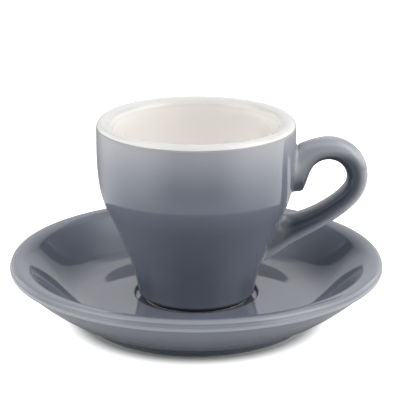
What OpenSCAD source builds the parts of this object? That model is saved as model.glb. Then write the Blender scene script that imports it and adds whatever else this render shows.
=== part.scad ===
// Espresso cup standing in its saucer, in millimetres.
// The origin is the centre of the saucer's foot ring, on the surface that it stands on.
// +Z is up, and the handle points along +X.

/* [Saucer] */
// Diameter of the saucer over its rim bead
saucer_d = 118; // [108:1:134]
// Height of the saucer's rim above the table
saucer_h = 20.6; // [18.6:0.2:25]
// Height of the saucer's floor beside the well
floor_z = 8.4; // [7.6:0.1:10]
// Diameter at which the floor begins to rise as a wall
floor_d = 60; // [54:1:70]
// Fall of the floor from the well's edge to where the wall begins
floor_fall = 0.4; // [0:0.1:1]
// Steepness of the wall just inside the rim, in degrees
wall_slope = 43; // [34:1:50]
// Width of the rolled rim, from the steep wall out to its crest
rim_roll = 4.4; // [3.4:0.1:6.4]
// Steepness of the underside just below the rim, in degrees
under_slope = 45; // [38:1:52]

/* [Rim bead] */
// Distance from the outside of the bead in to the rim's crest
crest_in = 2.1; // [1.6:0.1:3]
// Drop from the rim's crest to the groove above the bead
bead_drop = 1.5; // [1:0.1:2]
// Height of the bead
bead_h = 2; // [1.4:0.1:2.6]
// Depth of the groove above the bead
groove_depth = 0.35; // [0.1:0.05:0.8]
// Depth of the undercut below the bead
undercut = 1.2; // [0.5:0.1:2]

/* [Saucer foot] */
// Outer diameter of the foot ring where it stands
foot_d = 70.6; // [62:0.2:76]
// Width of the flat face that the foot ring stands on
foot_face = 2.6; // [1.6:0.1:4]
// Height of the foot ring
foot_h = 2; // [1.2:0.1:3]
// Radius of the foot ring's edges
foot_edge = 0.5; // [0.2:0.1:0.8]
// Height of the underside inside the foot ring
hollow_h = 3; // [2:0.1:3.6]

/* [Well] */
// Diameter of the well that takes the cup
well_d = 39; // [38.4:0.2:44]
// Depth of the well below the floor
well_depth = 1.4; // [0.9:0.1:2]
// Radius of the well's upper edge
well_edge = 0.7; // [0.3:0.1:1]

/* [Cup] */
// Height of the cup from its foot to its lip
cup_h = 58; // [54:0.5:68]
// Diameter of the cup below the lip
cup_d = 62.3; // [60:0.1:68]
// Diameter of the cup at its narrow base
base_d = 37.1; // [34:0.1:38]
// Diameter of the cup where its side changes from hollow to full
waist_d = 55.3; // [52:0.1:57]
// Height of that change above the cup's foot
waist_h = 28.8; // [26:0.2:32]
// Drop from the lip to the height at which the side is upright
shoulder_drop = 6.6; // [5:0.2:10]
// Thickness of the cup's wall
cup_wall = 5; // [3.5:0.1:6]
// Thickness of the cup's bottom, measured from its foot
cup_bottom = 6.2; // [5:0.1:9]
// Height of the rounded lip
lip_h = 2.4; // [1.8:0.1:3.2]

/* [Cup foot] */
// Outer diameter of the cup's foot ring
ring_d = 33; // [29:0.2:34]
// Width of the cup's foot ring
ring_w = 2.4; // [1.6:0.1:4]
// Height of the cup's foot ring
ring_h = 1.3; // [0.8:0.1:2]
// Height above the foot at which the side begins
base_h = 2.6; // [2.2:0.1:3.4]

/* [Glaze] */
// Thickness of the coloured coat on the cup
glaze_t = 0.3; // [0.15:0.05:0.5]
// Drop from the lip to the line where the colour stops
glaze_drop = 1.4; // [0.8:0.1:1.7]
// Height of the bare band at the bottom of the cup's foot ring
dry_h = 0.4; // [0.2:0.1:0.6]
// Length over which the coat thins out at its edges
glaze_fade = 0.8; // [0.4:0.1:1.6]

/* [Handle] */
// Reach of the handle from the cup's axis
handle_reach = 53.7; // [51.1:0.2:57.1]
// Inner radius of the handle's loop
loop_r = 5.9; // [5:0.1:7]
// Drop from the lip to the centre of the loop's outer curve
loop_drop = 18; // [17:0.2:20]
// Drop of the inner curve's centre below that of the outer curve
loop_sag = 0.45; // [0:0.05:0.8]
// Thickness of the strap around the loop
strap_t = 6.6; // [5:0.1:7.4]
// Width of the strap
strap_w = 8; // [6:0.1:10]
// Extra width of the strap where it meets the wall
root_flare = 1.4; // [0:0.1:3]
// Drop from the lip to where the strap's top leaves the wall
top_drop = 8.4; // [7:0.2:10]
// Drop from the lip to the spur's lower end
spur_drop = 23.2; // [21:0.2:25]
// Distance that the spur stands out from the wall
spur_out = 3.4; // [2.6:0.1:4.6]
// Gap between the spur's lower end and the upper side of the lower root
root_gap = 6.4; // [5:0.2:8]
// Length of the fillet above the lower root
root_fillet = 4; // [2:0.1:5]
// Height at which the lower root ends on the wall
root_low_h = 11.8; // [9:0.2:14]
// Distance of the lower root's knee from the cup's axis
knee_reach = 30.4; // [29:0.2:32]
// Thickness of the slip that joins the handle to the cup
slip_t = 0.04; // [0.02:0.01:0.1]

/* [Hidden] */

// Pieces in a curve and in an edge
curve_n = 12;
edge_n = 6;
// Points nearer to each other than this share of the saucer's diameter are one point
same_point = saucer_d / 100000;

function dir(angle) = [cos(angle), sin(angle)];
function clockwise(angle) = [sin(angle), -cos(angle)];

// Points along a smooth curve from a to d with guide points b and c
function curve(a, b, c, d, n = curve_n) =
    [for (i = [0 : n]) let (t = i / n, u = 1 - t)
        u * u * u * a + 3 * u * u * t * b + 3 * u * t * t * c + t * t * t * d];

// Points along an ellipse with half-widths w and h, from angle t0 to angle t1
function arc(centre, w, h, t0, t1, n = edge_n) =
    [for (i = [0 : n]) let (t = t0 + (t1 - t0) * i / n) centre + [w * cos(t), h * sin(t)]];

// The same points, without any that falls on the one before it
function joined(points) =
    [for (i = [0 : len(points) - 1])
        if (i == 0 || norm(points[i] - points[max(i - 1, 0)]) > same_point) points[i]];

// Places on the saucer's outline
rim_r = saucer_d / 2;
crest_r = rim_r - crest_in;
seat_z = floor_z - well_depth;
well_r = well_d / 2;
well_corner_share = 0.7;
well_corner = (well_depth - well_edge) * well_corner_share;
wall_foot = [floor_d / 2, floor_z - floor_fall];
floor_tilt = -atan2(floor_fall, wall_foot[0] - well_r);
roll_r = rim_roll / sin(wall_slope);
wall_top = [crest_r - rim_roll, saucer_h - roll_r * (1 - cos(wall_slope))];
wall_span = norm(wall_top - wall_foot);
wall_low_share = 0.42;
wall_high_share = 0.5;
groove = [rim_r - groove_depth, saucer_h - bead_drop];
bead_z = groove[1] - bead_h / 2;
under_top = [rim_r - undercut, groove[1] - bead_h];
foot_r = foot_d / 2;
foot_draft = 18;
under_foot = [foot_r + foot_h * tan(foot_draft), foot_h];
foot_slope = 20;
under_span = norm(under_top - under_foot);
under_low_share = 0.28;
under_high_share = 0.32;
foot_in_r = foot_r - foot_face - 2 * foot_edge;
hollow_corner_share = 0.5;
hollow_corner = hollow_h * hollow_corner_share;

// Well, floor, wall and rolled rim, then bead, underside and foot ring
saucer_outline = joined(concat(
    [[0, seat_z]],
    arc([well_r - well_corner, seat_z + well_corner], well_corner, well_corner, -90, 0),
    arc([well_r + well_edge, floor_z - well_edge], well_edge, well_edge, 180, 90 + floor_tilt),
    curve(wall_foot,
          wall_foot + dir(floor_tilt) * wall_span * wall_low_share,
          wall_top - dir(wall_slope) * wall_span * wall_high_share,
          wall_top),
    arc([crest_r, saucer_h - roll_r], roll_r, roll_r, 90 + wall_slope, 90),
    arc([crest_r, groove[1]], groove[0] - crest_r, bead_drop, 90, 0),
    arc([groove[0], bead_z], groove_depth, bead_h / 2, 90, 0),
    arc([under_top[0], bead_z], undercut, bead_h / 2, 0, -90),
    curve(under_top,
          under_top - dir(under_slope) * under_span * under_high_share,
          under_foot + dir(foot_slope) * under_span * under_low_share,
          under_foot),
    arc([foot_r - foot_edge, foot_edge], foot_edge, foot_edge, 0, -90),
    arc([foot_in_r + foot_edge, foot_edge], foot_edge, foot_edge, -90, -180),
    arc([foot_in_r - hollow_corner, hollow_h - hollow_corner], hollow_corner, hollow_corner, 0, 90),
    [[0, hollow_h]]));

// Places on the cup's outline, measured from its own foot
cup_r = cup_d / 2;
base_r = base_d / 2;
ring_r = ring_d / 2;
ring_in_r = ring_r - ring_w;
waist = [waist_d / 2, waist_h];
shoulder_h = cup_h - shoulder_drop;
shoulder = [cup_r, shoulder_h];
inside = [cup_wall, 0];
base_lean = 86.5;
waist_lean = 63.3;
upper_h = shoulder_h - waist_h;
base_side_share = 0.22;
low_waist_share = 0.17;
high_waist_share = 0.34;
shoulder_share = 0.35;
lip_crest_share = 0.35;
lip_out = cup_wall * lip_crest_share;
lip_in = cup_wall - lip_out;
lip_c = [cup_r - lip_out, cup_h - lip_h];
bowl_h = waist_h - cup_bottom;
bowl_side_share = 0.7;
bowl_floor_share = 0.5;
glaze_line = cup_h - glaze_drop;
glaze_line_r = lip_c[0] + lip_out * sqrt(1 - pow((glaze_line - lip_c[1]) / lip_h, 2));

// Outside of the cup, from its foot ring up to where the side is upright
cup_side = joined(concat(
    [[ring_r, dry_h]],
    arc([ring_r, base_h], base_r - ring_r, base_h - ring_h, -90, 0),
    curve([base_r, base_h],
          [base_r, base_h] + dir(base_lean) * waist_h * base_side_share,
          waist - dir(waist_lean) * waist_h * low_waist_share,
          waist),
    curve(waist,
          waist + dir(waist_lean) * upper_h * high_waist_share,
          shoulder - dir(90) * upper_h * shoulder_share,
          shoulder)));
lip_side = arc(lip_c, lip_out, lip_h, 0, 90, curve_n);

// Outer face of the coloured coat, and the bare porcelain under it. The coat thins out to
// nothing at its upper and its lower edge.
coat_side = joined(concat(
    cup_side,
    [for (p = lip_side) if (p[1] < glaze_line) p],
    [[glaze_line_r, glaze_line]]));
function coat_share(h) = min(1, (glaze_line - h) / glaze_fade, (h - dry_h) / glaze_fade);
bare_side = [for (i = [0 : len(coat_side) - 1])
    let (p = coat_side[i],
         along = coat_side[min(i + 1, len(coat_side) - 1)] - coat_side[max(i - 1, 0)])
    p - [along[1], -along[0]] / norm(along) * glaze_t * coat_share(p[1])];
coat_outline = joined(concat(
    coat_side,
    [for (i = [len(bare_side) - 2 : -1 : 1]) bare_side[i]]));

// Foot ring, side, lip and bowl
cup_outline = joined(concat(
    [[0, ring_h], [ring_in_r, ring_h], [ring_in_r, 0], [ring_r, 0]],
    bare_side,
    [for (p = lip_side) if (p[1] > glaze_line) p],
    arc(lip_c, lip_in, lip_h, 90, 180, curve_n),
    curve(shoulder - inside,
          shoulder - inside - dir(90) * upper_h * shoulder_share,
          waist - inside + dir(waist_lean) * upper_h * high_waist_share,
          waist - inside),
    curve(waist - inside,
          waist - inside - dir(waist_lean) * bowl_h * bowl_side_share,
          [(waist[0] - cup_wall) * bowl_floor_share, cup_bottom],
          [0, cup_bottom])));

// Radius of the cup's outside at a height above its foot
side_table = [for (p = concat(cup_side, [[cup_r, glaze_line]])) [p[1], p[0]]];
function side_r(h) = lookup(h, side_table);

// Handle: a strap drawn between an inner and an outer edge, both in the plane through the
// cup's axis. Each edge goes from the upper root, round the loop and down to the lower root.
spur_n = 4;
crown_n = 9;
loop_n = 22;
strap_n = 13;
knee_n = 7;
outer_start = 100;
outer_end = -36;
inner_start = 150;
inner_end = -12;
spur_slope = 66;
top_slope = 30;
knee_slope = 30;
root_slope = 20;
fillet_slope = 14;
fillet_turn = 45;
crown_low_share = 0.3;
crown_high_share = 0.33;
spur_side_share = 0.3;
spur_low_share = 0.4;
spur_high_share = 0.35;
spur_corner_share = 0.7;
knee_height_share = 0.37;
outer_loop_share = 0.28;
outer_knee_share = 0.36;
inner_loop_share = 0.16;
inner_knee_share = 0.36;
knee_share = 0.26;
root_share = 0.38;
fillet_share = 0.45;
fillet_end_share = 0.3;
fillet_drop_share = 0.15;

loop_out_r = loop_r + strap_t;
loop_c = [handle_reach - loop_out_r, cup_h - loop_drop];
inner_c = loop_c - [0, loop_sag];
crown_end = loop_c + dir(outer_start) * loop_out_r;
outer_exit = loop_c + dir(outer_end) * loop_out_r;
inner_entry = inner_c + dir(inner_start) * loop_r;
inner_exit = inner_c + dir(inner_end) * loop_r;
top_h = cup_h - top_drop;
top_root = [side_r(top_h), top_h];
spur_h = cup_h - spur_drop;
spur_root = [side_r(spur_h), spur_h];
spur_corner = spur_root + [spur_out, 0];
spur_side = spur_corner + dir(spur_slope) * spur_out * spur_side_share;
root_top_h = spur_h - root_gap;
root_top = [side_r(root_top_h), root_top_h];
root_low = [side_r(root_low_h), root_low_h];
knee = [knee_reach, root_low_h + (root_top_h - root_low_h) * knee_height_share];
inner_knee = root_top + root_fillet * [1, -fillet_drop_share];

outer_edge = joined(concat(
    curve(top_root,
          top_root + dir(top_slope) * norm(crown_end - top_root) * crown_low_share,
          crown_end - clockwise(outer_start) * norm(crown_end - top_root) * crown_high_share,
          crown_end, spur_n + crown_n),
    arc(loop_c, loop_out_r, loop_out_r, outer_start, outer_end, loop_n),
    curve(outer_exit,
          outer_exit + clockwise(outer_end) * norm(outer_exit - knee) * outer_loop_share,
          knee + dir(knee_slope) * norm(outer_exit - knee) * outer_knee_share,
          knee, strap_n),
    curve(knee,
          knee - dir(knee_slope) * norm(knee - root_low) * knee_share,
          root_low + dir(root_slope) * norm(knee - root_low) * root_share,
          root_low, knee_n)));
inner_edge = joined(concat(
    curve(spur_root,
          spur_root + [spur_out, 0] * spur_corner_share,
          spur_corner,
          spur_side, spur_n),
    curve(spur_side,
          spur_side + dir(spur_slope) * norm(inner_entry - spur_side) * spur_low_share,
          inner_entry - clockwise(inner_start) * norm(inner_entry - spur_side) * spur_high_share,
          inner_entry, crown_n),
    arc(inner_c, loop_r, loop_r, inner_start, inner_end, loop_n),
    curve(inner_exit,
          inner_exit + clockwise(inner_end) * norm(inner_exit - inner_knee) * inner_loop_share,
          inner_knee + dir(fillet_slope) * norm(inner_exit - inner_knee) * inner_knee_share,
          inner_knee, strap_n),
    curve(inner_knee,
          inner_knee - dir(fillet_slope) * root_fillet * fillet_share,
          root_top + dir(-fillet_turn) * root_fillet * fillet_end_share,
          root_top, knee_n)));

// Section of the strap: between an oval and a rectangle, as points around a unit shape
section_n = 24;
section_power = 2 / 2.4;
function rounded(v) = sign(v) * pow(abs(v), section_power);
section = [for (k = [0 : section_n - 1]) let (t = 360 * k / section_n)
    [rounded(cos(t)), rounded(sin(t))]];

// A ring of the strap across its two edges, and a ring that lies on the cup's wall
flare_n = 5;
last = len(outer_edge) - 1;
function flare(i) = root_flare * pow(max(0, 1 - min(i, last - i) / flare_n), 2);
function strap_ring(i) =
    let (a = inner_edge[i], b = outer_edge[i], w = (strap_w + flare(i)) / 2)
    [for (s = section) let (p = (a + b) / 2 + (b - a) / 2 * s[0]) [p[0], w * s[1], p[1]]];
function wall_point(h, y) = [sqrt(pow(side_r(h) + slip_t, 2) - y * y), y, h];
function wall_ring(i, size) =
    let (a = inner_edge[i][1], b = outer_edge[i][1], w = (strap_w + flare(i)) / 2)
    [for (s = section) wall_point((a + b) / 2 + (b - a) / 2 * s[0] * size, w * s[1] * size)];

cap_n = 4;
rings = concat(
    [for (k = [1 : cap_n]) wall_ring(0, k / cap_n)],
    [for (i = [1 : last - 1]) strap_ring(i)],
    [for (k = [cap_n : -1 : 1]) wall_ring(last, k / cap_n)]);
ring_count = len(rings);
function middle(i) = wall_point((inner_edge[i][1] + outer_edge[i][1]) / 2, 0);
handle_points = concat([for (ring = rings) each ring], [middle(0), middle(last)]);
handle_faces = concat(
    [for (i = [0 : ring_count - 2], k = [0 : section_n - 1])
        let (a = i * section_n + k,
             b = i * section_n + (k + 1) % section_n)
        each [[a, b + section_n, a + section_n], [a, b, b + section_n]]],
    [for (k = [0 : section_n - 1])
        let (n = (k + 1) % section_n, far = (ring_count - 1) * section_n)
        each [[n, k, ring_count * section_n],
              [far + k, far + n, ring_count * section_n + 1]]]);

// Pressed saucer with its well, rolled rim, bead and foot ring
module saucer() {
    color([0.44, 0.46, 0.51])
        rotate_extrude($fn = 96)
            polygon(saucer_outline);
}

// White porcelain body, bare under the coat and glazed white over the lip and inside
module cup_body() {
    color([0.93, 0.92, 0.90])
        translate([0, 0, seat_z])
            rotate_extrude($fn = 96)
                polygon(cup_outline);
}

// Coloured coat on the outside of the cup
module cup_colour_glaze() {
    color([0.48, 0.50, 0.55])
        translate([0, 0, seat_z])
            rotate_extrude($fn = 96)
                polygon(coat_outline);
}

// Loop handle with its spur, stuck to the cup at two roots
module cup_handle() {
    color([0.40, 0.42, 0.47])
        translate([0, 0, seat_z])
            polyhedron(points = handle_points, faces = handle_faces);
}

saucer();
cup_body();
cup_colour_glaze();
cup_handle();
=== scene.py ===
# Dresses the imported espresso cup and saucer: smooth glazed bodies, a strap handle with its
# slip joints, glaze and porcelain materials, studio light and the camera.
# Metres, +Z up, the handle along +X, the saucer's foot on z = 0.
import math

import bmesh
import bpy
import numpy as np
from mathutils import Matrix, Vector


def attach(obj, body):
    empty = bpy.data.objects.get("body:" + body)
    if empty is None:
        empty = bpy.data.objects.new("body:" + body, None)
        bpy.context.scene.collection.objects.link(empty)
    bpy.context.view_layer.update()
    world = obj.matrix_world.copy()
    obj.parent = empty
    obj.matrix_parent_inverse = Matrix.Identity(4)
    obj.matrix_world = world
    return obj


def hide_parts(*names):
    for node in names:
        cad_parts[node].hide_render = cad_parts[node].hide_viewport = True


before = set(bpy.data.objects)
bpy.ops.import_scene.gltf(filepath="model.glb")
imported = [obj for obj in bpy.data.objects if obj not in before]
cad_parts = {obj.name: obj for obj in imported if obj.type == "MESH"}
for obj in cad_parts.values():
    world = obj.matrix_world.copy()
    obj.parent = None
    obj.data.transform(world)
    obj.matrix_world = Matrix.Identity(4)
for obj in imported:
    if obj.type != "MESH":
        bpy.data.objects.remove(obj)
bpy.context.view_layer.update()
mm = 0.001
print("packed frame loaded:", sorted(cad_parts))


# lines that the pieces are drawn with, all in millimetres and degrees
def toward(degrees):
    return np.array([math.cos(math.radians(degrees)), math.sin(math.radians(degrees))])


def smoothLine(a, b, c, d, steps):  # from a to d, led by b and c
    t = np.linspace(0, 1, steps + 1)[:, None]
    u = 1 - t
    a, b, c, d = (np.asarray(p, float) for p in (a, b, c, d))
    return u**3 * a + 3 * u**2 * t * b + 3 * u * t**2 * c + t**3 * d


def bend(a, leave, d, arrive, leads, steps):  # from a to d; each end is led by a share of the way
    way = np.linalg.norm(np.subtract(d, a))
    return smoothLine(a, a + toward(leave) * way * leads[0], d + toward(arrive) * way * leads[1], d, steps)


def bow(centre, wide, high, start, end, steps):  # a piece of an ellipse
    t = np.radians(np.linspace(start, end, steps + 1))
    return np.column_stack([centre[0] + wide * np.cos(t), centre[1] + high * np.sin(t)])


def chain(*parts, least=0.0005):  # one line, without doubled points
    points = np.vstack([np.atleast_2d(np.asarray(p, float)) for p in parts])
    step = np.linalg.norm(np.diff(points, axis=0), axis=1)
    return points[np.concatenate([[True], step > least])]


def sharpness(line, reach=0.9, fine=0.1):  # how tightly the outline bulges out, within reach
    step = np.linalg.norm(np.diff(line, axis=0), axis=1)
    along = np.concatenate([[0], np.cumsum(step)])
    s = np.linspace(0, along[-1], int(along[-1] / fine))
    path = np.column_stack([np.interp(s, along, line[:, k]) for k in (0, 1)])
    heading = np.unwrap(np.arctan2(*np.gradient(path, axis=0).T[::-1]))
    turn = np.gradient(heading, s)
    span = int(reach / fine) * 2 + 1
    bell = np.hanning(span + 2)[1:-1]
    turn = np.convolve(np.pad(turn, span // 2, mode="edge"), bell / bell.sum(), "valid")
    (r, z), (rNext, zNext) = line[:-1].T, line[1:].T
    return np.interp(along, s, turn[: len(s)]) * np.sign(np.sum(r * zNext - rNext * z))


def nodeKit(tree):  # short ways to add nodes; an input takes a socket or a constant
    def feed(socket, value):
        if isinstance(value, bpy.types.NodeSocket):
            tree.links.new(value, socket)
        else:
            socket.default_value = value

    def add(kind, inputs=None, **settings):
        made = tree.nodes.new(kind)
        for key, value in settings.items():
            setattr(made, key, value)
        for key, value in (inputs or {}).items():
            feed(made.inputs[key], value)
        return made

    def maths(operation, *values, **settings):
        made = add("ShaderNodeMath", operation=operation, **settings)
        for socket, value in zip(made.inputs, values):
            feed(socket, value)
        return made.outputs[0]

    def fade(value, low, high, least=0.0, most=1.0, kind="SMOOTHSTEP"):
        span = {"Value": value, "From Min": low, "From Max": high, "To Min": least, "To Max": most}
        return add("ShaderNodeMapRange", span, interpolation_type=kind).outputs[0]

    return add, maths, fade


# Geometry Nodes: a square grid, bent into the body that an outline makes on the wheel
def makeWheelTree():
    tree = bpy.data.node_groups.new("potterWheel", "GeometryNodeTree")
    face = tree.interface
    face.new_socket("Outline", in_out="INPUT", socket_type="NodeSocketGeometry")
    for name, kind, value in (("Steps Around", "NodeSocketInt", 192), ("Weld", "NodeSocketFloat", 1e-6)):
        face.new_socket(name, in_out="INPUT", socket_type=kind).default_value = value
    face.new_socket("Finish", in_out="INPUT", socket_type="NodeSocketMaterial")
    face.new_socket("Body", in_out="OUTPUT", socket_type="NodeSocketGeometry")
    add, maths = nodeKit(tree)[:2]
    given = add("NodeGroupInput").outputs
    size = add("GeometryNodeAttributeDomainSize", {0: given["Outline"]}, component="MESH")
    count = size.outputs["Point Count"]
    grid = add("GeometryNodeMeshGrid",
               {"Vertices X": maths("ADD", given["Steps Around"], 1), "Vertices Y": count})
    position = add("GeometryNodeInputPosition").outputs[0]
    place = add("ShaderNodeSeparateXYZ", {0: position}).outputs
    half = 0.5  # the grid reaches this far from its centre
    turn = maths("MULTIPLY", maths("ADD", place["X"], half), 2 * math.pi)
    rank = maths("ROUND", maths("MULTIPLY", maths("ADD", place["Y"], half), maths("SUBTRACT", count, 1)))

    def fromOutline(kind, value):
        return add("GeometryNodeSampleIndex", {"Geometry": given["Outline"], "Value": value, "Index": rank},
                   data_type=kind, domain="POINT").outputs[0]

    spot = add("ShaderNodeSeparateXYZ", {0: fromOutline("FLOAT_VECTOR", position)}).outputs
    bent = add("ShaderNodeCombineXYZ", {
        "X": maths("MULTIPLY", spot["X"], maths("COSINE", turn)),
        "Y": maths("MULTIPLY", spot["X"], maths("SINE", turn)),
        "Z": spot["Z"],
    })
    # the outline's edge mark: thin glaze on bulges, and painted light on the saucer's rim roll
    edge = add("GeometryNodeInputNamedAttribute", {"Name": "edge"}, data_type="FLOAT").outputs["Attribute"]
    body = add("GeometryNodeStoreNamedAttribute",
               {"Geometry": grid.outputs["Mesh"], "Name": "edge", "Value": fromOutline("FLOAT", edge)},
               data_type="FLOAT", domain="POINT").outputs[0]
    for kind, inputs in (
        ("GeometryNodeSetPosition", {"Position": bent.outputs[0]}),
        ("GeometryNodeMergeByDistance", {"Distance": given["Weld"]}),
        ("GeometryNodeSetShadeSmooth", {}),
        ("GeometryNodeRealizeInstances", {}),
        ("GeometryNodeSetMaterial", {"Material": given["Finish"]}),
    ):
        body = add(kind, {"Geometry": body, **inputs}).outputs[0]
    add("NodeGroupOutput", {"Body": body})
    return tree


wheelTree = makeWheelTree()


def socketOf(tree, name):
    return next(s.identifier for s in tree.interface.items_tree if s.name == name and s.in_out == "INPUT")


def outward(mesh):  # every face of a closed shell points out
    work = bmesh.new()
    work.from_mesh(mesh)
    bmesh.ops.recalc_face_normals(work, faces=work.faces)
    if work.calc_volume(signed=True) < 0:
        bmesh.ops.reverse_faces(work, faces=work.faces)
    work.to_mesh(mesh)
    work.free()


def newPiece(name, data):
    piece = bpy.data.objects.new(name, data)
    bpy.context.scene.collection.objects.link(piece)
    return piece


def markThinAndPaintedLight(mesh, thinAndPaintedLight):  # how thin the glaze lies at each point, and where light and shade are painted on
    mesh.attributes.new("edge", "FLOAT", "POINT").data.foreach_set("value", thinAndPaintedLight.astype(np.float32))


def thrown(name, line, finish, thinAndPaintedLight=None, around=192):  # a closed outline, turned on the wheel
    mesh = bpy.data.meshes.new(name + "Outline")
    points = [(r * mm, 0, z * mm) for r, z in line]
    mesh.from_pydata(points, [(i, i + 1) for i in range(len(points) - 1)], [])
    markThinAndPaintedLight(mesh, sharpness(line) if thinAndPaintedLight is None else thinAndPaintedLight)
    piece = newPiece(name, mesh)
    wheel = piece.modifiers.new("wheel", "NODES")
    wheel.node_group = wheelTree
    wheel[socketOf(wheelTree, "Steps Around")] = around
    wheel[socketOf(wheelTree, "Finish")] = finish
    turned = piece.evaluated_get(bpy.context.evaluated_depsgraph_get())
    body = bpy.data.meshes.new_from_object(turned)
    piece.modifiers.remove(wheel)
    piece.data = body
    body.name = name
    outward(body)
    bpy.data.meshes.remove(mesh)
    return piece


# shader groups that the glazes share
def shaderTree(name, inputs, outputs):
    tree = bpy.data.node_groups.new(name, "ShaderNodeTree")
    for label, kind, value in inputs:
        made = tree.interface.new_socket(label, in_out="INPUT", socket_type=kind)
        if value is not None:
            made.default_value = value
    for label, kind in outputs:
        tree.interface.new_socket(label, in_out="OUTPUT", socket_type=kind)
    return tree, tree.nodes.new("NodeGroupInput").outputs


# scales are counts of cells in a metre
melted = {
    "cloudDetail": 4, "speckScale": 210, "speckInner": 0.05, "speckOuter": 0.09,
    "fineScale": 320, "fineDetail": 2, "swellScale": 95, "swellDetail": 1, "fineShare": 0.15,
    "roughness": 0.035,
}


def makeGlazeTree(m):  # how a fired glaze varies: clouds of tone, thin edges, painted light and shade, and a few specks
    tree, given = shaderTree(
        "firedGlaze",
        [("Position", "NodeSocketVector", None), ("Tone", "NodeSocketColor", (0.2, 0.2, 0.2, 1)),
         ("Thin Tone", "NodeSocketColor", (0.4, 0.4, 0.4, 1)), ("Edge", "NodeSocketFloat", 0.0),
         ("Cloud Size", "NodeSocketFloat", 40.0), ("Cloud Depth", "NodeSocketFloat", 0.05),
         ("Speck Depth", "NodeSocketFloat", 0.1), ("Gloss Loss", "NodeSocketFloat", 0.04)],
        [("Color", "NodeSocketColor"), ("Roughness", "NodeSocketFloat"), ("Height", "NodeSocketFloat")],
    )
    add, maths, fade = nodeKit(tree)

    def noise(scale, detail):
        inputs = {"Vector": given["Position"], "Scale": scale, "Detail": detail}
        return add("ShaderNodeTexNoise", inputs).outputs["Fac"]

    thinAndPaintedLight = add("ShaderNodeMix", {"Factor": given["Edge"], "A": given["Tone"], "B": given["Thin Tone"]},
               data_type="RGBA").outputs["Result"]
    # tone times 1, plus or minus the cloud's depth
    swing = maths("SUBTRACT", noise(given["Cloud Size"], m["cloudDetail"]), 0.5)
    cloud = maths("MULTIPLY_ADD", swing, given["Cloud Depth"], 1.0)
    # iron specks, a few tenths of a millimetre
    cells = add("ShaderNodeTexVoronoi", {"Vector": given["Position"], "Scale": m["speckScale"]})
    speck = fade(cells.outputs["Distance"], m["speckInner"], m["speckOuter"], 1.0, 0.0, "LINEAR")
    level = maths("SUBTRACT", cloud, maths("MULTIPLY", speck, given["Speck Depth"]))
    color = add("ShaderNodeVectorMath", {0: thinAndPaintedLight, "Scale": level}, operation="SCALE").outputs["Vector"]
    # the faint unevenness of a melted surface
    fine = noise(m["fineScale"], m["fineDetail"])
    dullest = maths("ADD", given["Gloss Loss"], m["roughness"])
    rough = fade(fine, 0.0, 1.0, m["roughness"], dullest, "LINEAR")
    height = maths("MULTIPLY_ADD", fine, m["fineShare"], noise(m["swellScale"], m["swellDetail"]))
    add("NodeGroupOutput", {"Color": color, "Roughness": rough, "Height": height})
    return tree


biscuit = {
    "waverScale": 260, "grainScale": 2200, "grainDetail": 3, "grainTone": (0.82, 1.08), "roughness": 0.72,
}


def makeBareTree(b):  # biscuit below a wavering line, where the glaze was wiped off the foot
    tree, given = shaderTree(
        "wipedFoot",
        [("Position", "NodeSocketVector", None), ("Color", "NodeSocketColor", (0.2, 0.2, 0.2, 1)),
         ("Roughness", "NodeSocketFloat", 0.05), ("Bare Tone", "NodeSocketColor", (0.62, 0.58, 0.52, 1)),
         ("Line Height", "NodeSocketFloat", 0.0004), ("Line Waver", "NodeSocketFloat", 0.00025)],
        [("Color", "NodeSocketColor"), ("Roughness", "NodeSocketFloat")],
    )
    add, maths, fade = nodeKit(tree)
    place = given["Position"]
    height = add("ShaderNodeSeparateXYZ", {0: place}).outputs["Z"]
    waver = add("ShaderNodeTexNoise", {"Vector": place, "Scale": b["waverScale"]}).outputs["Fac"]
    line = maths("MULTIPLY_ADD", waver, given["Line Waver"], given["Line Height"])
    below = maths("LESS_THAN", height, line)
    grain = add("ShaderNodeTexNoise", {"Vector": place, "Scale": b["grainScale"], "Detail": b["grainDetail"]})
    sand = fade(grain.outputs["Fac"], 0.0, 1.0, *b["grainTone"], "LINEAR")
    clay = add("ShaderNodeVectorMath", {0: given["Bare Tone"], "Scale": sand}, operation="SCALE")
    color = add("ShaderNodeMix", {"Factor": below, "A": given["Color"], "B": clay.outputs["Vector"]},
                data_type="RGBA")
    rough = add("ShaderNodeMix", {"Factor": below, "A": given["Roughness"], "B": b["roughness"]})
    add("NodeGroupOutput", {"Color": color.outputs["Result"], "Roughness": rough.outputs["Result"]})
    return tree


glazeTree = makeGlazeTree(melted)
bareTree = makeBareTree(biscuit)
print("wheel and glaze node groups built")
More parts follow.
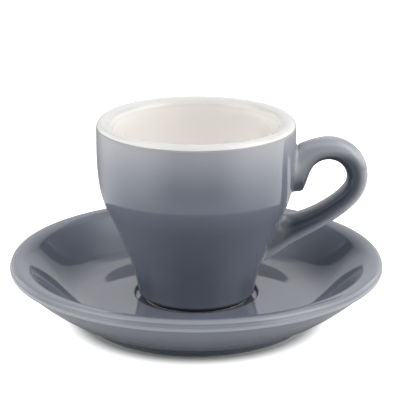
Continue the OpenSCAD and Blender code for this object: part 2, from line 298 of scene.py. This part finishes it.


# edge: the level of the edge mark at which the lighter tone starts, and where it is full; the mark holds thin
# glaze on bulges and painted light on the handle and the saucer's roll
# the zone towards the lip: low and high point of the light painted there (lighter on the grey coat, a painted
# shade on the white lip), and its share there
# bareLine: height up to which the foot is bare
def glaze(name, tone, thinAndPaintedLightTone, edge=None, paintedLightZone=None, bareLine=None,
          cloud=0.05, specks=0.1, glossLoss=0.04, bump=0.00002, ior=1.6):
    material = bpy.data.materials.new(name)
    material.use_nodes = True
    material.diffuse_color = (*tone, 1)
    links = material.node_tree.links
    add, maths, fade = nodeKit(material.node_tree)
    place = add("ShaderNodeTexCoord").outputs["Object"]
    thinAndPaintedLight = 0.0
    if edge is not None:
        thinAndPaintedLight = fade(add("ShaderNodeAttribute", attribute_name="edge").outputs["Fac"], *edge)
    if paintedLightZone is not None:
        low, high, share = paintedLightZone
        height = add("ShaderNodeSeparateXYZ", {0: place}).outputs["Z"]
        thinAndPaintedLight = maths("MAXIMUM", thinAndPaintedLight, fade(height, low * mm, high * mm, 0.0, share))
    melt = add("ShaderNodeGroup", {
        "Position": place, "Tone": (*tone, 1), "Thin Tone": (*thinAndPaintedLightTone, 1), "Edge": thinAndPaintedLight,
        "Cloud Depth": cloud, "Speck Depth": specks, "Gloss Loss": glossLoss,
    }, node_tree=glazeTree)
    top = melt
    if bareLine is not None:
        top = add("ShaderNodeGroup", {
            "Position": place, "Color": melt.outputs["Color"], "Roughness": melt.outputs["Roughness"],
            "Line Height": bareLine * mm,
        }, node_tree=bareTree)
    swell = add("ShaderNodeBump", {"Strength": 1.0, "Distance": bump, "Height": melt.outputs["Height"]})
    skin = material.node_tree.nodes["Principled BSDF"]
    skin.inputs["IOR"].default_value = ior
    links.new(top.outputs["Color"], skin.inputs["Base Color"])
    links.new(top.outputs["Roughness"], skin.inputs["Roughness"])
    links.new(swell.outputs["Normal"], skin.inputs["Normal"])
    return material


# thin tones: lighter on the grey glaze, where it thins on bulges and where light is painted on; darker on the
# white glaze, a painted shade on the lip
greyGlaze = {"tone": (0.132, 0.145, 0.182), "thinAndPaintedLightTone": (0.312, 0.317, 0.333)}
whiteGlaze = {"tone": (0.86, 0.835, 0.80), "thinAndPaintedLightTone": (0.58, 0.575, 0.565), "cloud": 0.02, "specks": 0.0}
# the handle's glaze: a dark copy of the grey glaze as painted shade, with a lighter tone for the light
# painted on the strap
handleShadeGlaze = {"tone": (0.048, 0.056, 0.079), "thinAndPaintedLightTone": (0.465, 0.479, 0.512), "glossLoss": 0.2}
saucerFinish = glaze("saucerGlaze", **greyGlaze, edge=(0.08, 1.1), bareLine=0.15)
# the coat is painted lighter towards the lip, as light from above
coatFinish = glaze("cupGlaze", **greyGlaze, edge=(0.35, 1.6), paintedLightZone=(48, 66, 0.9))
handleFinish = glaze("handleGlaze", **handleShadeGlaze, edge=(0.0, 1.75))
# the white lip is painted darker towards its top, a painted shade
porcelainFinish = glaze("whitePorcelain", **whiteGlaze, paintedLightZone=(61.8, 64.2, 0.85), bareLine=7.2)
print("glazes mixed")


saucerShape = {
    "diameter": 118, "height": 20.6, "floor": 8.4, "floorDiameter": 60, "floorFall": 0.4,
    "wallSlope": 43, "rimRoll": 4.4, "wallLow": 0.42, "wallHigh": 0.5,
    "crestIn": 2.1, "beadDrop": 1.5, "beadHeight": 2, "grooveDepth": 0.35, "undercut": 1.2,
    "underSlope": 45, "underLow": 0.28, "underHigh": 0.32, "underLean": 20, "footLean": 18,
    "footDiameter": 70.6, "footFace": 2.6, "footHeight": 2, "footEdge": 0.5, "hollow": 3, "hollowRound": 0.5,
    "wellDiameter": 39, "wellDepth": 1.4, "wellEdge": 0.7, "wellRound": 0.7,
    # lighter glaze: painted light on the roll between two radii, above the rim's groove, and thin glaze on
    # bulges from bulgeFrom out
    "rollPaintedLight": (55.8, 57.2), "rollShare": 0.42, "rollAbove": (16.8, 17.3),
    "bulgeFrom": 35, "bulgeSpan": 10, "bulgeLeast": 0.1,
}


def saucerLine(s):
    rim = s["diameter"] / 2
    crest = rim - s["crestIn"]
    seat = s["floor"] - s["wellDepth"]
    well = s["wellDiameter"] / 2
    corner = (s["wellDepth"] - s["wellEdge"]) * s["wellRound"]
    wallFoot = np.array([s["floorDiameter"] / 2, s["floor"] - s["floorFall"]])
    tilt = -math.degrees(math.atan2(s["floorFall"], wallFoot[0] - well))
    slope = math.radians(s["wallSlope"])
    roll = s["rimRoll"] / math.sin(slope)
    wallTop = np.array([crest - s["rimRoll"], s["height"] - roll * (1 - math.cos(slope))])
    span = np.linalg.norm(wallTop - wallFoot)
    groove = [rim - s["grooveDepth"], s["height"] - s["beadDrop"]]
    halfBead = s["beadHeight"] / 2
    bead = groove[1] - halfBead
    underTop = np.array([rim - s["undercut"], groove[1] - s["beadHeight"]])
    foot, e = s["footDiameter"] / 2, s["footEdge"]
    underFoot = np.array([foot + s["footHeight"] * math.tan(math.radians(s["footLean"])), s["footHeight"]])
    underSpan = np.linalg.norm(underTop - underFoot)
    footIn = foot - s["footFace"] - 2 * e
    inner = s["hollow"] * s["hollowRound"]
    return chain(
        [[0, seat]],
        bow([well - corner, seat + corner], corner, corner, -90, 0, steps=8),
        bow([well + s["wellEdge"], s["floor"] - s["wellEdge"]], s["wellEdge"], s["wellEdge"], 180, 90 + tilt,
            steps=10),
        smoothLine(wallFoot, wallFoot + toward(tilt) * span * s["wallLow"],
                   wallTop - toward(s["wallSlope"]) * span * s["wallHigh"], wallTop, steps=60),
        bow([crest, s["height"] - roll], roll, roll, 90 + s["wallSlope"], 90, steps=20),
        bow([crest, groove[1]], groove[0] - crest, s["beadDrop"], 90, 0, steps=14),
        bow([groove[0], bead], s["grooveDepth"], halfBead, 90, 0, steps=8),
        bow([underTop[0], bead], s["undercut"], halfBead, 0, -90, steps=10),
        smoothLine(underTop, underTop - toward(s["underSlope"]) * underSpan * s["underHigh"],
                   underFoot + toward(s["underLean"]) * underSpan * s["underLow"], underFoot, steps=40),
        bow([foot - e, e], e, e, 0, -90, steps=6),
        bow([footIn + e, e], e, e, -90, -180, steps=6),
        bow([footIn - inner, s["hollow"] - inner], inner, inner, 0, 90, steps=8),
        [[0, s["hollow"]]],
    )


def saucerThinAndPaintedLight(s, line):
    r, z = line.T
    # painted light on the rim's roll
    onRoll = np.interp(r, s["rollPaintedLight"], (0, s["rollShare"])) * np.interp(z, s["rollAbove"], (0, 1))
    outer = np.clip((r - s["bulgeFrom"]) / s["bulgeSpan"], s["bulgeLeast"], 1)
    return np.maximum(sharpness(line) * outer, onRoll)


saucerOutline = saucerLine(saucerShape)
saucerGlazed = thrown("saucerGlazed", saucerOutline, saucerFinish, saucerThinAndPaintedLight(saucerShape, saucerOutline))
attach(saucerGlazed, "saucer")
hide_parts("saucer")
print("saucer thrown:", len(saucerGlazed.data.polygons), "faces")


cupShape = {
    "height": 58, "diameter": 62.3, "baseDiameter": 37.1, "waistDiameter": 55.3, "waistHeight": 28.8,
    "shoulderDrop": 6.6, "wall": 5, "bottom": 6.2, "lip": 2.4, "lipCrest": 0.35,
    "ringDiameter": 33, "ringWidth": 2.4, "ringHeight": 1.3, "baseHeight": 2.6,
    "baseLean": 86.5, "waistLean": 63.3,
    # shares of the way that lead the curves
    "baseLead": 0.22, "waistLead": 0.17, "sideLead": 0.34, "shoulderLead": 0.35,
    "bowlLead": 0.7, "bowlRound": 0.5,
    "coat": 0.3, "coatDrop": 1.4, "dry": 0.4, "fade": 0.8,
    "seat": saucerShape["floor"] - saucerShape["wellDepth"],
}


def cupSideLine(c):  # the outside, from the foot ring to where the side is upright
    base = np.array([c["baseDiameter"] / 2, c["baseHeight"]])
    ring = c["ringDiameter"] / 2
    waist = np.array([c["waistDiameter"] / 2, c["waistHeight"]])
    shoulder = np.array([c["diameter"] / 2, c["height"] - c["shoulderDrop"]])
    upper = shoulder[1] - waist[1]
    lean, lower = toward(c["waistLean"]), waist[1]
    return chain(
        [[ring, c["dry"]]],
        bow([ring, base[1]], base[0] - ring, base[1] - c["ringHeight"], -90, 0, steps=10),
        smoothLine(base, base + toward(c["baseLean"]) * lower * c["baseLead"],
                   waist - lean * lower * c["waistLead"], waist, steps=48),
        smoothLine(waist, waist + lean * upper * c["sideLead"],
                   shoulder - [0, upper * c["shoulderLead"]], shoulder, steps=48),
    )


def cupLines(c):  # the body, its coat, and the coat's face alone
    side = cupSideLine(c)
    lipOut = c["wall"] * c["lipCrest"]
    lipIn = c["wall"] - lipOut
    centre = [c["diameter"] / 2 - lipOut, c["height"] - c["lip"]]
    lip = bow(centre, lipOut, c["lip"], 0, 90, steps=24)
    stop = c["height"] - c["coatDrop"]
    stopAt = [centre[0] + lipOut * math.sqrt(1 - ((stop - centre[1]) / c["lip"]) ** 2), stop]
    face = chain(side, lip[lip[:, 1] < stop], [stopAt])
    along = np.gradient(face, axis=0)
    across = np.column_stack([along[:, 1], -along[:, 0]]) / np.linalg.norm(along, axis=1)[:, None]
    fromEnds = np.minimum(stop - face[:, 1], face[:, 1] - c["dry"])
    under = face - across * c["coat"] * np.clip(fromEnds / c["fade"], 0, 1)[:, None]
    ring = c["ringDiameter"] / 2
    ringIn = ring - c["ringWidth"]
    waist = np.array([c["waistDiameter"] / 2 - c["wall"], c["waistHeight"]])
    shoulder = np.array([c["diameter"] / 2 - c["wall"], c["height"] - c["shoulderDrop"]])
    upper, bowl = shoulder[1] - waist[1], waist[1] - c["bottom"]
    lean = toward(c["waistLean"])
    body = chain(
        [[0, c["ringHeight"]], [ringIn, c["ringHeight"]], [ringIn, 0], [ring, 0]],
        under,
        lip[lip[:, 1] > stop],
        bow(centre, lipIn, c["lip"], 90, 180, steps=24),
        smoothLine(shoulder, shoulder - [0, upper * c["shoulderLead"]],
                   waist + lean * upper * c["sideLead"], waist, steps=40),
        smoothLine(waist, waist - lean * bowl * c["bowlLead"],
                   [waist[0] * c["bowlRound"], c["bottom"]], [0, c["bottom"]], steps=48),
    )
    coat = chain(face, under[-2:0:-1], face[:1])
    up = [0, c["seat"]]
    return body + up, coat + up, face + up


bodyLine, coatLine, faceLine = cupLines(cupShape)
cupPorcelain = thrown("cupPorcelain", bodyLine, porcelainFinish)
cupCoat = thrown("cupCoat", coatLine, coatFinish)
for piece, node, slot in (
    (cupPorcelain, "cup_body", "white_porcelain"),
    (cupCoat, "cup_colour_glaze", "cup_glaze"),
):
    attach(piece, "cup")
    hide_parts(node)
print("cup thrown:", len(cupPorcelain.data.polygons), "and", len(cupCoat.data.polygons), "faces")


# handle: a strap between an inner and an outer edge, from the top root round to the lower one
handleShape = {
    "reach": 53.7, "loop": 5.9, "loopDrop": 18, "loopSag": 0.45, "strap": 6.6,
    "width": 8, "flare": 1.4, "flareLength": 7, "power": 2.4, "around": 56,
    "topDrop": 8.4, "spurDrop": 23.2, "spurOut": 3.4, "rootGap": 6.4, "fillet": 4, "rootLow": 11.8,
    "kneeReach": 30.4, "kneeHeight": 0.37, "slip": 0.9, "bite": 0.25, "skin": 0.01, "clearReach": 36,
    # degrees
    "outerStart": 100, "outerEnd": -36, "innerStart": 150, "innerEnd": -12, "spurSlope": 66,
    "topSlope": 30, "kneeSlope": 30, "rootSlope": 20, "filletSlope": 14, "filletTurn": 45,
    # shares of the way that lead the curves
    "topLeads": (0.3, 0.33), "strapLeads": (0.28, 0.36), "kneeLeads": (0.26, 0.38),
    "spurLead": 0.7, "spurSide": 0.3, "crownLeads": (0.4, 0.35), "innerLeads": (0.16, 0.36),
    "filletDrop": 0.15, "filletLeads": (0.45, 0.3),
    # rings on the spur, crown, loop, strap and knee, and on each slip joint
    "rings": (8, 22, 54, 34, 18), "slipRings": 6,
    # where light is painted on the strap, over its dark painted-shade tone: shares of the strap's length, and
    # how light
    "crownFull": 0.3, "crownEnd": 0.5, "crownPaintedLight": 0.8,
    "lowStart": 0.55, "lowFull": 0.72, "lowPaintedLight": 1.0, "innerFrom": 0.65, "innerPaintedLight": 0.95,
    "rootStart": 0.68, "rootFull": 0.93, "rootPaintedLight": 0.55,
    "spurFull": 0.05, "spurEnd": 0.15, "spurPaintedLight": 0.4,
}


def wallAt(z):  # radius of the cup's outside at a height
    return np.interp(z, faceLine[:, 1], faceLine[:, 0])


def strapEdges(h, seat, cupHeight):
    outR = h["loop"] + h["strap"]
    top = cupHeight + seat
    centre = np.array([h["reach"] - outR, top - h["loopDrop"]])
    crownEnd = centre + toward(h["outerStart"]) * outR
    outExit = centre + toward(h["outerEnd"]) * outR
    inCentre = centre - [0, h["loopSag"]]
    inEntry = inCentre + toward(h["innerStart"]) * h["loop"]
    inExit = inCentre + toward(h["innerEnd"]) * h["loop"]
    topRoot = np.array([wallAt(top - h["topDrop"]), top - h["topDrop"]])
    spurRoot = np.array([wallAt(top - h["spurDrop"]), top - h["spurDrop"]])
    spurCorner = spurRoot + [h["spurOut"], 0]
    spurSide = spurCorner + toward(h["spurSlope"]) * h["spurOut"] * h["spurSide"]
    rootTopZ = spurRoot[1] - h["rootGap"]
    rootTop = np.array([wallAt(rootTopZ), rootTopZ])
    rootLowZ = seat + h["rootLow"]
    rootLow = np.array([wallAt(rootLowZ), rootLowZ])
    knee = np.array([h["kneeReach"], rootLowZ + (rootTopZ - rootLowZ) * h["kneeHeight"]])
    inKnee = rootTop + h["fillet"] * np.array([1, -h["filletDrop"]])
    spur, crown, loop, strap, low = h["rings"]
    outer = [
        bend(topRoot, h["topSlope"], crownEnd, h["outerStart"] + 90, h["topLeads"], spur + crown),
        bow(centre, outR, outR, h["outerStart"], h["outerEnd"], loop)[1:],
        bend(outExit, h["outerEnd"] - 90, knee, h["kneeSlope"], h["strapLeads"], strap)[1:],
        bend(knee, h["kneeSlope"] + 180, rootLow, h["rootSlope"], h["kneeLeads"], low)[1:],
    ]
    inner = [
        smoothLine(spurRoot, spurRoot + [h["spurOut"] * h["spurLead"], 0], spurCorner, spurSide, spur),
        bend(spurSide, h["spurSlope"], inEntry, h["innerStart"] + 90, h["crownLeads"], crown)[1:],
        bow(inCentre, h["loop"], h["loop"], h["innerStart"], h["innerEnd"], loop)[1:],
        bend(inExit, h["innerEnd"] - 90, inKnee, h["filletSlope"], h["innerLeads"], strap)[1:],
        smoothLine(inKnee, inKnee - toward(h["filletSlope"]) * h["fillet"] * h["filletLeads"][0],
                   rootTop + toward(-h["filletTurn"]) * h["fillet"] * h["filletLeads"][1], rootTop, low)[1:],
    ]
    return np.vstack(outer), np.vstack(inner)


def strapHalfWidth(h, *edges):  # half the width at each ring; it flares towards both roots
    fromEnd = []
    for line in edges:
        s = np.concatenate([[0], np.cumsum(np.linalg.norm(np.diff(line, axis=0), axis=1))])
        fromEnd.append(np.minimum(s, s[-1] - s))
    gone = np.mean(fromEnd, axis=0)
    return (h["width"] + h["flare"] * np.clip(1 - gone / h["flareLength"], 0, 1) ** 2) / 2


def strapPaintedLight(h, count, high):  # painted light on the outer side, the crown, the strap's underside, the inner edge and the roots
    s = np.linspace(0, 1, count)
    crown = np.interp(s, (h["crownFull"], h["crownEnd"]), (1, 0))[:, None]
    crown = crown**2 * (3 - 2 * crown)
    low = np.interp(s, (h["lowStart"], h["lowFull"]), (0, 1))[:, None]
    outside = np.minimum(high + h["crownPaintedLight"] * crown, 1) + h["lowPaintedLight"] * low * np.maximum(high, 0)
    roots = np.interp(s, (h["spurFull"], h["spurEnd"], h["rootStart"], h["rootFull"]),
                      (h["spurPaintedLight"], -1, -1, h["rootPaintedLight"]))[:, None]
    inside = h["innerPaintedLight"] * np.interp(-high, (h["innerFrom"], 1), (0, 1))
    return np.maximum(np.maximum(outside, roots), inside).ravel()


def strapMesh(h):
    outer, inner = strapEdges(h, cupShape["seat"], cupShape["height"])
    halfWidth = strapHalfWidth(h, outer, inner)
    n = h["around"]
    t = np.linspace(0, 2 * math.pi, n, endpoint=False)
    high, wide = (np.sign(v) * np.abs(v) ** (2 / h["power"]) for v in (np.cos(t), np.sin(t)))

    def ring(a, b, half, spread=0.0):
        middle, reach = (a + b) / 2, (b - a) / 2
        reach = reach * (1 + spread / np.linalg.norm(reach))
        x, z = middle[:, None] + reach[:, None] * high
        return np.column_stack([x, (half + spread) * wide, z])

    def onWall(a, b, half, spread, out):  # a ring that follows the cup's round wall, out mm from it
        points = ring(a, b, half, spread)
        r = wallAt(points[:, 2])
        points[:, 0] = np.sqrt(np.maximum(r**2 - points[:, 1] ** 2, 1)) + out
        return points

    def root(a, b, half):  # slip joint: a quarter round that spreads onto the wall
        rings = [onWall(a, b, half, h["slip"], -h["bite"])]
        for turn in np.linspace(0, 90, h["slipRings"], endpoint=False):
            cosine, sine = toward(turn)
            rings.append(onWall(a, b, half, h["slip"] * (1 - sine), h["slip"] * (1 - cosine) + h["skin"]))
        return rings

    clear = []  # strap rings that lie past the slip joints
    for i in range(1, len(outer) - 1):
        middle = (outer[i] + inner[i]) / 2
        nearest = min(p[0] - wallAt(p[1]) for p in (outer[i], inner[i]))
        if nearest > h["slip"] or middle[0] > h["clearReach"]:
            clear.append(ring(inner[i], outer[i], halfWidth[i]))
    rings = root(inner[0], outer[0], halfWidth[0]) + clear + root(inner[-1], outer[-1], halfWidth[-1])[::-1]
    points = np.vstack([*rings, rings[0].mean(axis=0), rings[-1].mean(axis=0)])
    faces = []
    for i in range(len(rings) - 1):
        for k in range(n):
            a, b = i * n + k, i * n + (k + 1) % n
            faces.append((a, b, b + n, a + n))
    last = (len(rings) - 1) * n
    faces += [(k, (k + 1) % n, len(points) - 2) for k in range(n)]
    faces += [(last + (k + 1) % n, last + k, len(points) - 1) for k in range(n)]
    mesh = bpy.data.meshes.new("handleStrap")
    mesh.from_pydata([tuple(p) for p in points * mm], [], faces)
    mesh.polygons.foreach_set("use_smooth", [True] * len(mesh.polygons))
    markThinAndPaintedLight(mesh, np.append(strapPaintedLight(h, len(rings), high), [0, 0]))
    mesh.materials.append(handleFinish)
    outward(mesh)
    return mesh


handleStrap = newPiece("handleStrap", strapMesh(handleShape))
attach(handleStrap, "cup")
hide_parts("cup_handle")
print("handle pulled:", len(handleStrap.data.polygons), "faces")


# studio: a pale table in a white room, with the panels that the glaze mirrors
studio = {
    "floorTone": (0.80, 0.80, 0.80), "floorHalf": 6.0, "floorRoughness": 0.9,
    # the table is lifted to white in the view, from just outside the saucer's foot
    "viewLift": 0.86, "liftFrom": 0.0352, "liftTo": 0.043,
    # what the glaze sees of the lit table, by distance from the saucer's axis in metres: painted light, dim
    # near the saucer as a painted shadow, with the table's own tone lowered in reflections
    "mirroredTone": 0.12, "tableReach": 0.62, "tableTop": 3.0,
    "tableFront": ((0.033, 0.05), (0.04, 0.12), (0.043, 0.18), (0.047, 0.38), (0.058, 0.5),
                   (0.068, 0.72), (0.1, 0.65), (0.14, 0.32), (0.2, 0.25), (0.5, 0.2)),
    "tableSide": ((0.033, 0.05), (0.04, 0.12), (0.047, 0.38), (0.058, 0.45), (0.07, 0.62), (0.1, 1.07),
                  (0.15, 1.76), (0.5, 1.76), (0.62, 0.3)),
    "sideTurn": 83, "sideFrom": 0.44,
    # the room: elevation in degrees and light, for its five parts from front to back
    "skyLevel": 0.80, "skyTop": 4.0, "rightLean": 0.24,
    "front": ((0, 0.0), (30, 0.0), (40, 0.8), (46, 1.1), (58, 0.95), (72, 0.8), (80, 0.15), (88, 0.1)),
    "side": ((0, 1.6), (12, 1.8), (20, 2.7), (42, 3.2), (50, 2.7), (60, 1.8), (72, 0.76), (82, 0.12)),
    "flank": ((0, 1.8), (12, 1.8), (24.5, 1.6), (27, 0.2), (34, 0.05), (44, 0.25), (50, 0.75), (56, 1.1),
              (68, 0.8), (82, 0.12)),
    "corner": ((0, 1.0), (12, 0.8), (17, 0.1), (26, 0.0), (34, 0.05), (44, 0.2), (53, 0.7), (68, 0.75),
               (82, 0.12)),
    "back": ((0, 0.75), (8, 1.05), (16, 1.25), (24, 1.3), (28, 1.3), (34, 1.55), (40, 1.9), (44, 1.2),
             (48, 0.9), (58, 1.0), (68, 1.3), (76, 1.2), (84, 0.12)),
    # degrees from the front where one part gives way to the next
    "turns": ((36, 54), (90, 112), (139, 141), (147.4, 148.6)),
    "backdropFade": (148, 176, 0.4),  # the backdrop grows brighter from its edge to its middle
}


def drawCurve(node, points):  # straight lines between the points, 0 to 1 both ways
    curve = node.mapping.curves[0]
    while len(curve.points) < len(points):
        curve.points.new(0.5, 0.5)
    for knot, (x, y) in zip(curve.points, sorted(points)):
        knot.location = (x, y)
        knot.handle_type = "VECTOR"
    node.mapping.extend = "HORIZONTAL"
    node.mapping.update()


def makeFloor(s):
    mesh = bpy.data.meshes.new("studioFloor")
    corners = ((-1, -1), (1, -1), (1, 1), (-1, 1))
    mesh.from_pydata([(x * s["floorHalf"], y * s["floorHalf"], 0) for x, y in corners], [], [(0, 1, 2, 3)])
    floor = newPiece("studioFloor", mesh)
    material = bpy.data.materials.new("paleFloor")
    material.use_nodes = True
    links = material.node_tree.links
    add, maths, fade = nodeKit(material.node_tree)
    skin = material.node_tree.nodes["Principled BSDF"]
    skin.inputs["Roughness"].default_value = s["floorRoughness"]
    skin.inputs["Specular IOR Level"].default_value = 0.0
    skin.inputs["Emission Color"].default_value = (1, 1, 1, 1)
    place = add("ShaderNodeTexCoord").outputs["Object"]
    away = add("ShaderNodeVectorMath", {0: place}, operation="LENGTH").outputs["Value"]
    share = maths("DIVIDE", away, s["tableReach"], use_clamp=True)
    glows = []
    for part in ("tableFront", "tableSide"):
        glow = add("ShaderNodeFloatCurve", {"Value": share}, label=part)
        drawCurve(glow, [(r / s["tableReach"], v / s["tableTop"]) for r, v in s[part]])
        glows.append(glow.outputs[0])
    # the table is brighter towards the side panels, at sideTurn degrees on both sides of the front
    lead = math.radians(s["sideTurn"])
    spot = add("ShaderNodeSeparateXYZ", {0: place}).outputs
    outwards = maths("MULTIPLY", maths("ABSOLUTE", spot["X"]), math.sin(lead))
    slant = maths("DIVIDE", maths("MULTIPLY_ADD", spot["Y"], -math.cos(lead), outwards), away)
    lit = add("ShaderNodeMix", {"Factor": fade(slant, s["sideFrom"], 1.0), "A": glows[0], "B": glows[1]})
    path = add("ShaderNodeLightPath").outputs
    strength = maths("MULTIPLY", lit.outputs["Result"], s["tableTop"])
    inGloss = maths("MULTIPLY", path["Is Glossy Ray"], strength)
    tone = add("ShaderNodeMix", {"Factor": path["Is Glossy Ray"], "A": (*s["floorTone"], 1),
                                 "B": (*[s["mirroredTone"]] * 3, 1)}, data_type="RGBA")
    inView = maths("MAXIMUM", path["Is Camera Ray"], path["Is Transmission Ray"])
    clear = fade(away, s["liftFrom"], s["liftTo"], 0.0, s["viewLift"])
    links.new(tone.outputs["Result"], skin.inputs["Base Color"])
    links.new(maths("MULTIPLY_ADD", inView, clear, inGloss), skin.inputs["Emission Strength"])
    mesh.materials.append(material)


def makeWorld(s):
    world = bpy.data.worlds.new("softRoom")
    bpy.context.scene.world = world
    world.use_nodes = True
    add, maths, fade = nodeKit(world.node_tree)
    back = world.node_tree.nodes["Background"]
    back.inputs["Color"].default_value = (1, 1, 1, 1)
    axis = add("ShaderNodeSeparateXYZ", {0: add("ShaderNodeTexCoord").outputs["Generated"]}).outputs
    rise = maths("DIVIDE", maths("ARCSINE", axis["Z"]), math.pi / 2)
    turn = maths("ABSOLUTE", maths("ARCTAN2", axis["X"], maths("MULTIPLY", axis["Y"], -1.0)))

    def partLight(part):
        curve = add("ShaderNodeFloatCurve", {"Value": rise}, label=part)
        drawCurve(curve, [(e / 90, v / s["skyTop"]) for e, v in s[part]])
        return curve.outputs[0]

    light = partLight("front")
    for part, (begin, end) in zip(("side", "flank", "corner", "back"), s["turns"]):
        share = fade(turn, math.radians(begin), math.radians(end))
        if part == "back":
            edge, centre, least = s["backdropFade"]
            middle = fade(turn, math.radians(edge), math.radians(centre), least, 1.0, "LINEAR")
            share = maths("MULTIPLY", share, middle)
        blend = add("ShaderNodeMix", {"Factor": share, "A": light, "B": partLight(part)})
        light = blend.outputs["Result"]
    lean = maths("MULTIPLY_ADD", axis["X"], s["rightLean"], 1.0)
    inGloss = maths("MULTIPLY", maths("MULTIPLY", light, s["skyTop"] * s["skyLevel"]), lean)
    path = add("ShaderNodeLightPath").outputs
    plain = maths("MAXIMUM", path["Is Camera Ray"], path["Is Transmission Ray"])
    strength = add("ShaderNodeMix", {"Factor": plain, "A": inGloss, "B": 1.0})  # white to the camera
    world.node_tree.links.new(strength.outputs["Result"], back.inputs["Strength"])


# soft lamps that the glaze doesn't mirror: metres and watts
softboxes = {
    "overhead": {"at": (0, -0.75, 1.3), "aim": (0, 0, 0.03), "size": (1.2, 0.6), "power": 7.5},
    "left": {"at": (-0.8, -0.1, 0.1), "aim": (0, 0, 0.035), "size": (0.5, 0.15), "power": 2},
    "right": {"at": (0.8, -0.1, 0.1), "aim": (0, 0, 0.035), "size": (0.5, 0.15), "power": 2},
}


def makeSoftbox(name, b):
    lamp = bpy.data.lights.new(name, "AREA")
    lamp.shape = "RECTANGLE"
    lamp.size, lamp.size_y = b["size"]
    lamp.energy = b["power"]
    holder = newPiece(name, lamp)
    holder.visible_glossy = False
    holder.location = b["at"]
    aim = Vector(b["aim"]) - Vector(b["at"])
    holder.rotation_euler = aim.to_track_quat("-Z", "Y").to_euler()


makeFloor(studio)
makeWorld(studio)
for name, box in softboxes.items():
    makeSoftbox(name, box)

# fitted to the photograph: place in metres, degrees downwards, lens and sensor in millimetres
cameraSetup = {
    "at": (0.001174, -0.54323, 0.21011), "pitch": 17.504, "lens": 163.0, "sensor": 36.0, "clip": 0.01,
}
lensData = bpy.data.cameras.new("photoView")
lensData.lens, lensData.sensor_width = cameraSetup["lens"], cameraSetup["sensor"]
lensData.clip_start = cameraSetup["clip"]
photoView = newPiece("photoView", lensData)
photoView.location = cameraSetup["at"]
photoView.rotation_euler = (math.radians(90 - cameraSetup["pitch"]), 0, 0)
bpy.context.scene.camera = photoView
bpy.context.scene.view_settings.view_transform = "Standard"
print("studio and camera set")
